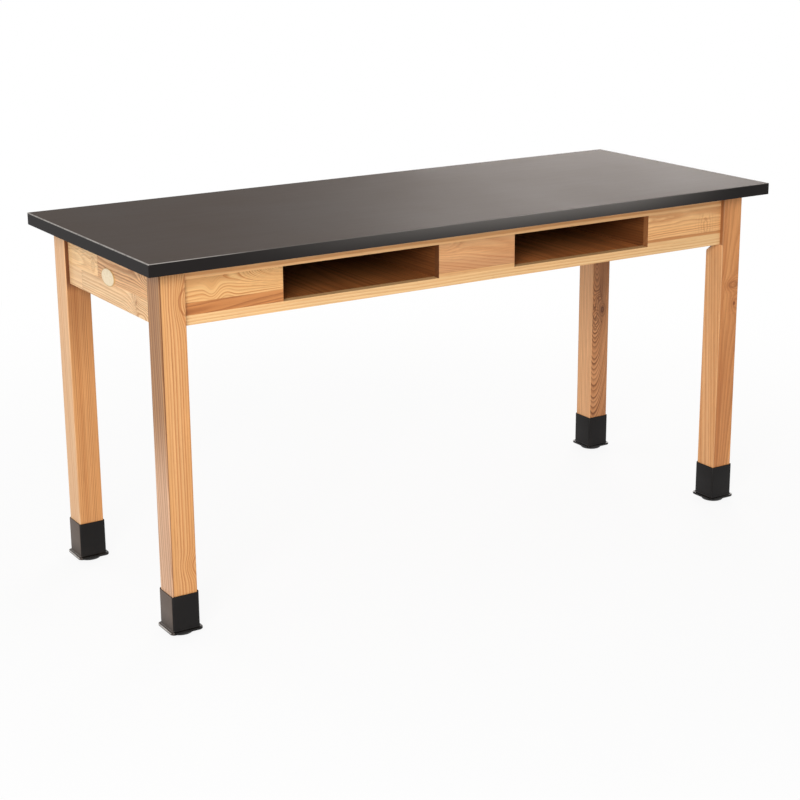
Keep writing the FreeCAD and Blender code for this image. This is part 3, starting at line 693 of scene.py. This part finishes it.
def lathe(profile, centre, steps):  # a round body from its half section of radius and height
    bm = bmesh.new()
    points = [bm.verts.new((centre.x + reach, centre.y, height)) for reach, height in profile]
    edges = [bm.edges.new(pair) for pair in zip(points, points[1:])]
    bmesh.ops.spin(bm, geom=points + edges, cent=(centre.x, centre.y, 0), axis=(0, 0, 1), angle=2 * math.pi,
                   steps=steps, use_merge=True)
    bmesh.ops.remove_doubles(bm, verts=bm.verts, dist=weld)
    return bm


def addPiece(name, bm, body, slotName, material, *replaced):
    piece = meshObject(name, bm, material)
    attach(piece, body)
    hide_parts(*replaced)
    return piece


worktopSettings = {
    "bevelWidth": 1.0 * mm, "bevelSegments": 3, "topSheenDepth": 1 * mm, "reliefDepth": 0.02 * mm, "shine": 0.62,
    # the third colour is a painted warm sheen on the top face, and the fourth paints the highlight along the upper
    # edges and the sheen on the front face
    "base": colour(17, 16, 18), "lift": colour(24, 22, 23), "film": colour(48, 33, 21), "wearAndHighlight": colour(168, 163, 158),
    "shader": {"Specular IOR Level": 0.18, "Specular Tint": (1.0, 0.87, 0.75, 1.0)},
}


def makeWorktop(settings):
    low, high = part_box("worktop")
    bm = bmesh.new()
    bmesh.ops.create_cube(bm, size=1)
    bmesh.ops.scale(bm, vec=high - low, verts=bm.verts)
    bmesh.ops.translate(bm, vec=(low + high) / 2, verts=bm.verts)
    rounded = bmesh.ops.bevel(bm, geom=bm.edges[:], offset=settings["bevelWidth"], affect="EDGES", profile=0.5,
                              segments=settings["bevelSegments"], material=-1)
    for face in rounded["faces"]:
        face.smooth = True
    looks = {label: settings[label] for label in ("base", "lift", "film", "wearAndHighlight", "shine")}
    material = onePartMaterial("worktopResin", resinFinish, settings["shader"], settings["reliefDepth"],
                               filmFrom=high.z - settings["topSheenDepth"], corner=(low.x, low.y, high.z), **looks)
    return addPiece("worktop_slab", bm, "table", "worktop_resin", material, "worktop")


makeWorktop(worktopSettings)


bootSettings = {
    "wall": 29.5 * mm, "wallRound": 4.0 * mm,  # half the width over the cup, and its corner radius
    "inside": 27.02 * mm, "insideRound": 1.7 * mm,
    "flange": 35.0 * mm, "flangeRound": 9.0 * mm, "flangeHeight": 5.5 * mm,
    "hole": 6.0 * mm, "base": 3.0 * mm, "cove": 3.0 * mm, "cornerSegments": 6,
    "lipSag": {"front_left": 3.6 * mm, "back_left": 0.6 * mm, "front_right": 1.2 * mm, "back_right": 1.0 * mm},
    "shader": {"Specular IOR Level": 0.2}, "smoothAngle": math.radians(40),
    "looks": {
        "base": colour(17, 14, 13), "dusty": 0.15, "shine": 0.5, "dustFrom": 8 * mm, "dustTo": 40 * mm,
        "glossyBelow": 13 * mm, "paintedSideSheen": colour(98, 86, 78),
        "sheenSide": -726.2 * mm, "rimSide": -731.2 * mm, "rimFrom": 11 * mm,  # the left boots' outer faces, where the painted sheen and the painted rim highlight go
    },
}


def makeBoot(corner, settings, material):
    low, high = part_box("boot_" + corner)
    centre = (low + high) / 2
    bottom, top = low.z, high.z
    flangeTop = bottom + settings["flangeHeight"]
    labels = ("wall", "wallRound", "inside", "insideRound", "flange", "flangeRound", "hole", "base", "cove")
    wall, wallRound, inside, insideRound, flange, flangeRound, hole, base, cove = (settings[key] for key in labels)
    ease, middle = 1 * mm, (bottom + top) / 2
    rings = [  # half width, corner radius and height, from the hole out, up the cup, over its lip and down inside
        (hole, hole, bottom),
        (flange - 3 * ease, flangeRound, bottom),
        (flange - 0.6 * ease, flangeRound, bottom + 0.4 * ease),
        (flange, flangeRound, bottom + 1.4 * ease),
        (flange, flangeRound, flangeTop - ease),
        (flange - 0.3 * ease, flangeRound, flangeTop - 0.3 * ease),
        (flange - ease, flangeRound, flangeTop),
    ]
    for share in (0.0, 0.25, 0.5, 0.75, 1.0):  # the cove is a quarter circle
        angle = share * math.pi / 2
        out, up = cove * (1 - math.sin(angle)), cove * (1 - math.cos(angle))
        rings.append((wall + out, wallRound + out / 2, flangeTop + up))
    rings += [
        (wall, wallRound, middle),
        (wall, wallRound, top - ease),
        (wall - 0.3 * ease, wallRound, top - 0.3 * ease),
        (wall - 0.9 * ease, wallRound, top),
        (inside + 0.7 * ease, insideRound, top),
        (inside, insideRound, top - 0.6 * ease),
        (inside, insideRound, middle),
        (inside, insideRound, bottom + base),
        (hole, hole, bottom + base),
    ]
    bm = bmesh.new()
    segments = settings["cornerSegments"]
    count = 4 * (segments + 1)
    bmesh.ops.create_circle(bm, segments=count, radius=1)
    loops = [list(bm.verts)]
    edges = list(bm.edges)
    for ring in rings[1:]:
        grown = bmesh.ops.extrude_edge_only(bm, edges=edges)["geom"]
        edges = [item for item in grown if isinstance(item, bmesh.types.BMEdge)]
        loops.append([item for item in grown if isinstance(item, bmesh.types.BMVert)])
    for verts, (half, radius, height) in zip(loops, rings):
        for step, vert in enumerate(verts):
            quarter, part = divmod(step, segments + 1)
            angle = (quarter + part / segments) * math.pi / 2
            signX = 1 if quarter in (0, 3) else -1
            signY = 1 if quarter in (0, 1) else -1
            near = 0.5 + 0.5 * math.cos(angle - 1.25 * math.pi)  # 1 at the corner towards the front left
            drop = settings["lipSag"][corner] * near ** 2 if height > top - 2 * ease else 0
            vert.co = Vector((centre.x + signX * (half - radius) + radius * math.cos(angle),
                              centre.y + signY * (half - radius) + radius * math.sin(angle), height - drop))
    bmesh.ops.bridge_loops(bm, edges=[edge for edge in bm.edges if len(edge.link_faces) == 1])
    bmesh.ops.remove_doubles(bm, verts=bm.verts, dist=weld)
    smoothFaces(bm)
    return addPiece("boot_cup_" + corner, bm, "table", "boot_rubber", material, "boot_" + corner)


bootRubber = onePartMaterial("bootRubber", mouldedFinish, bootSettings["shader"], depth=0.02 * mm,
                             **bootSettings["looks"])
for corner in cornerNames:
    boot = makeBoot(corner, bootSettings, bootRubber)
    boot.data.set_sharp_from_angle(angle=bootSettings["smoothAngle"])
print("boots made")


padSettings = {
    "flutes": 36, "fluteDepth": 0.5 * mm, "shank": 5.2 * mm, "socket": 9.3 * mm, "socketFloor": 2.6 * mm,
    "socketRoof": 6.0 * mm, "smoothAngle": math.radians(35), "shader": {"Specular IOR Level": 0.5},
    "looks": {"base": colour(24, 24, 24), "dusty": 0.2, "shine": 0.34, "dustFrom": 0.0, "dustTo": 6 * mm},
}


def makePad(corner, settings, material):
    low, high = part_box("glide_pad_" + corner)
    centre = (low + high) / 2
    radius, floor, roof = (high.x - low.x) / 2, low.z, high.z
    shank, socket = settings["shank"], settings["socket"]
    socketFloor, socketRoof = floor + settings["socketFloor"], floor + settings["socketRoof"]
    profile = [
        (0.0, floor), (radius - 2.0 * mm, floor), (radius - 1.0 * mm, floor + 0.3 * mm),
        (radius - 0.3 * mm, floor + 1.0 * mm), (radius, floor + 2.0 * mm), (radius, roof - 1.6 * mm),
        (radius - 0.5 * mm, roof - 0.5 * mm), (radius - 1.6 * mm, roof - 0.1 * mm), (radius - 2.6 * mm, roof),
        (shank + 1 * mm, roof), (shank, roof - 0.5 * mm), (shank, socketRoof),
        (socket, socketRoof), (socket, socketFloor), (0.0, socketFloor),
    ]
    bm = lathe(profile, centre, settings["flutes"] * 4)
    for vert in bm.verts:  # flutes round the rim, for turning the glide by hand
        offset = Vector((vert.co.x - centre.x, vert.co.y - centre.y))
        if offset.length > radius - 0.4 * mm and vert.co.z > floor + 1.5 * mm:
            wave = 0.5 - 0.5 * math.cos(settings["flutes"] * math.atan2(offset.y, offset.x))
            offset *= 1 - settings["fluteDepth"] * wave / offset.length
            vert.co.x, vert.co.y = centre.x + offset.x, centre.y + offset.y
    smoothFaces(bm)
    node = "glide_pad_" + corner
    pad = addPiece("glide_foot_" + corner, bm, node, "glide_plastic", material, node)
    pad.data.set_sharp_from_angle(angle=settings["smoothAngle"])
    return pad


padPlastic = onePartMaterial("padPlastic", mouldedFinish, padSettings["shader"], depth=0.01 * mm,
                             **padSettings["looks"])
for corner in cornerNames:
    makePad(corner, padSettings, padPlastic)

stemSettings = {
    "head": 9.0 * mm, "headHeight": 3.0 * mm, "pitch": 1.5875 * mm, "threadDepth": 0.85 * mm, "point": 1.5 * mm,
    "plainNeck": 2.4 * mm, "stepsPerTurn": 24, "roundSteps": 36, "smoothAngle": math.radians(30),
}


def makeStem(corner, settings, material):
    low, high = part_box("glide_stem_" + corner)
    centre = (low + high) / 2
    node = "glide_stem_" + corner
    points = [vert.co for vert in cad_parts[node].data.vertices]
    upper = [point for point in points if point.z > low.z + 2 * settings["headHeight"]]
    outer = max((point - centre).xy.length for point in upper)  # half the thread's outer diameter
    root = outer - settings["threadDepth"]
    neck = low.z + settings["headHeight"]
    profile = [
        (0.0, low.z), (settings["head"] - 0.4 * mm, low.z), (settings["head"], low.z + 0.4 * mm),
        (settings["head"], neck - 0.4 * mm), (settings["head"] - 0.4 * mm, neck), (root, neck),
        (root, high.z - settings["point"]), (root - settings["point"], high.z), (0.0, high.z),
    ]
    bm = lathe(profile, centre, settings["roundSteps"])
    pitch = settings["pitch"]
    start = neck + settings["plainNeck"]
    turns = math.floor((high.z - settings["point"] - start - pitch) / pitch)
    steps = turns * settings["stepsPerTurn"]
    ridge = [bm.verts.new((centre.x + reach, centre.y, start + rise * pitch)) for reach, rise in
             ((root - 0.1 * mm, 0.02), (outer, 0.44), (outer, 0.56), (root - 0.1 * mm, 0.98))]
    section = bm.faces.new(ridge)
    bmesh.ops.spin(bm, geom=ridge + list(section.edges) + [section], cent=(centre.x, centre.y, 0), axis=(0, 0, 1),
                   dvec=(0, 0, turns * pitch / steps), angle=turns * 2 * math.pi, steps=steps)
    smoothFaces(bm)
    stem = addPiece("glide_thread_" + corner, bm, node, "zinc_fastener", material, node)
    stem.data.set_sharp_from_angle(angle=settings["smoothAngle"])
    return stem


for corner in cornerNames:
    makeStem(corner, stemSettings, zincFastener)
print("glides made")


plateSettings = {
    "rim": 1.6 * mm, "rimStep": 0.4 * mm, "rimRise": 0.4 * mm, "segments": 64, "dome": 0.12 * mm,
    "domeWidth": 6 * mm, "reliefDepth": 0.03 * mm, "shader": {"Specular IOR Level": 0.5, "Coat Weight": 0.2},
    "cream": colour(242, 222, 186), "wearAndHighlight": colour(228, 202, 158), "rimColour": colour(206, 168, 108),
}


def makePlate(settings):
    low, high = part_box("apron_oval_plate")
    centre = (low + high) / 2
    bm = bmesh.new()
    bmesh.ops.create_circle(bm, segments=settings["segments"], radius=1, cap_ends=True)
    bmesh.ops.scale(bm, vec=((high.y - low.y) / 2, (high.z - low.z) / 2, 1), verts=bm.verts)
    turn = Matrix.Rotation(math.pi / 2, 4, "Z") @ Matrix.Rotation(math.pi / 2, 4, "X")
    back = Matrix.Translation((high.x, centre.y, centre.z))  # the plate lies on the apron at high.x
    bmesh.ops.transform(bm, matrix=back @ turn, verts=bm.verts)
    front = bmesh.ops.extrude_face_region(bm, geom=bm.faces[:])["geom"]
    moved = [item for item in front if isinstance(item, bmesh.types.BMVert)]
    bmesh.ops.translate(bm, vec=(low.x - high.x, 0, 0), verts=moved)
    cap = [item for item in front if isinstance(item, bmesh.types.BMFace)]
    for width, rise in ((settings["rim"], 0.0), (settings["rimStep"], -settings["rimRise"]),
                        (settings["domeWidth"], settings["dome"])):
        bmesh.ops.inset_region(bm, faces=cap, thickness=width, depth=rise, use_even_offset=True)
    bmesh.ops.recalc_face_normals(bm, faces=bm.faces)
    material, tree, place = startMaterial("creamEnamel", settings["shader"])
    mottled, clouds = noise(tree, place, "mottle", 3.0), noise(tree, place, "enamelCloud", 8.0)
    tint = mixColour(tree, fade(tree, mottled, 0.42, 0.7), settings["cream"], settings["wearAndHighlight"])
    inward = vectorCalc(tree, "MULTIPLY", vectorCalc(tree, "SUBTRACT", place, tuple(centre)),
                        (0.0, 2 / (high.y - low.y), 2 / (high.z - low.z)))
    outward = fade(tree, vectorCalc(tree, "LENGTH", inward), 0.9, 0.94)
    tint = mixColour(tree, outward, tint, settings["rimColour"])
    finishMaterial(tree, tint, scaled(tree, clouds, 0.2, 0.28), mottled, settings["reliefDepth"])
    return addPiece("oval_plate", bm, "table", "plate_enamel", material, "apron_oval_plate")


makePlate(plateSettings)
print("plate made")


# Floor, light and camera

floorSettings = {
    "half": 40, "below": 0.1 * mm,
    "shader": {"Base Color": (0.82, 0.82, 0.82, 1), "Roughness": 0.9, "Specular IOR Level": 0.1},
    "whitening": (0.9, 2.6, 0.9, 1.0),  # the shadow shows near the object, and further out all is white
}


def seenRays(tree, kinds):  # 1 for rays of these kinds
    rays = addNode(tree, "LightPath").outputs
    seen = rays["Is " + kinds[0] + " Ray"]
    for kind in kinds[1:]:
        seen = calc(tree, "MAXIMUM", seen, rays["Is " + kind + " Ray"])
    return seen


def makeFloor(settings):
    bm = bmesh.new()
    bmesh.ops.create_grid(bm, x_segments=1, y_segments=1, size=settings["half"])
    bmesh.ops.translate(bm, vec=(0, 0, -settings["below"]), verts=bm.verts)
    material = bpy.data.materials.new("paleFloor")
    material.use_nodes = True
    floor = meshObject("studioFloor", bm, material)
    tree = material.node_tree
    surface = tree.nodes["Principled BSDF"]
    feedAll(tree, surface, settings["shader"])
    reach = vectorCalc(tree, "LENGTH", addNode(tree, "TexCoord").outputs["Object"])
    seen = times(tree, seenRays(tree, ("Camera", "Glossy")), fade(tree, reach, *settings["whitening"]))
    lit = addNode(tree, "MixShader", seen, surface.outputs[0], addNode(tree, "Emission").outputs[0])
    behind = addNode(tree, "NewGeometry").outputs["Backfacing"]  # seen from below the floor is clear
    both = addNode(tree, "MixShader", behind, lit.outputs[0], addNode(tree, "BsdfTransparent").outputs[0])
    feed(tree, tree.nodes["Material Output"].inputs["Surface"], both.outputs[0])


def makeWorld(ambient):
    world = bpy.data.worlds.new("paleStudio")
    scene.world = world
    world.use_nodes = True
    tree = world.node_tree
    seen = seenRays(tree, ("Camera", "Glossy", "Transmission"))
    strength = mixValue(tree, seen, ambient, 1.0)
    feedAll(tree, tree.nodes["Background"], {"Color": (1, 1, 1, 1), "Strength": strength})


lamps = {  # place, what it points at, size and watts
    "keyLamp": {"place": (-2.8, -3.0, 2.1), "target": (-0.1, 0.0, 0.45), "size": (1.8, 1.4), "power": 112},
    "leftLamp": {"place": (-1.7, 2.9, 1.7), "target": (-0.5, 0.0, 0.6), "size": (1.2, 1.0), "power": 12},
    "backLamp": {"place": (2.9, 2.7, 1.7), "target": (0.55, 0.0, 0.76), "size": (2.0, 1.4), "power": 62,
                 "tint": (1.0, 0.93, 0.89)},
}


def makeLamp(name, place, target, size, power, tint=(1, 1, 1)):
    lamp = bpy.data.lights.new(name, "AREA")
    lamp.shape = "RECTANGLE"
    lamp.size, lamp.size_y = size
    lamp.energy = power
    lamp.color = tint
    holder = addObject(name, lamp)
    holder.location = place
    holder.rotation_euler = (Vector(target) - Vector(place)).to_track_quat("-Z", "Y").to_euler()


view = {
    "place": (-2.03347, -3.18596, 1.44758), "turn": -32.12, "down": 15.57, "roll": -0.4,
    "lens": 79.10, "sensor": 36.0, "shiftY": -0.05,
}


def makeCamera(settings):
    lens = bpy.data.cameras.new("photoCamera")
    lens.lens, lens.sensor_width, lens.shift_y = settings["lens"], settings["sensor"], settings["shiftY"]
    camera = addObject("photoCamera", lens)
    turn = Matrix.Rotation(math.radians(settings["turn"]), 4, "Z")
    tilt = Matrix.Rotation(math.radians(90 - settings["down"]), 4, "X")
    roll = Matrix.Rotation(math.radians(settings["roll"]), 4, "Z")
    camera.matrix_world = Matrix.Translation(settings["place"]) @ turn @ tilt @ roll
    scene.camera = camera


makeFloor(floorSettings)
makeWorld(ambient=0.5)
for name, settings in lamps.items():
    makeLamp(name, **settings)
makeCamera(view)
scene.view_settings.view_transform = "Standard"
print("stage, light and camera ready")
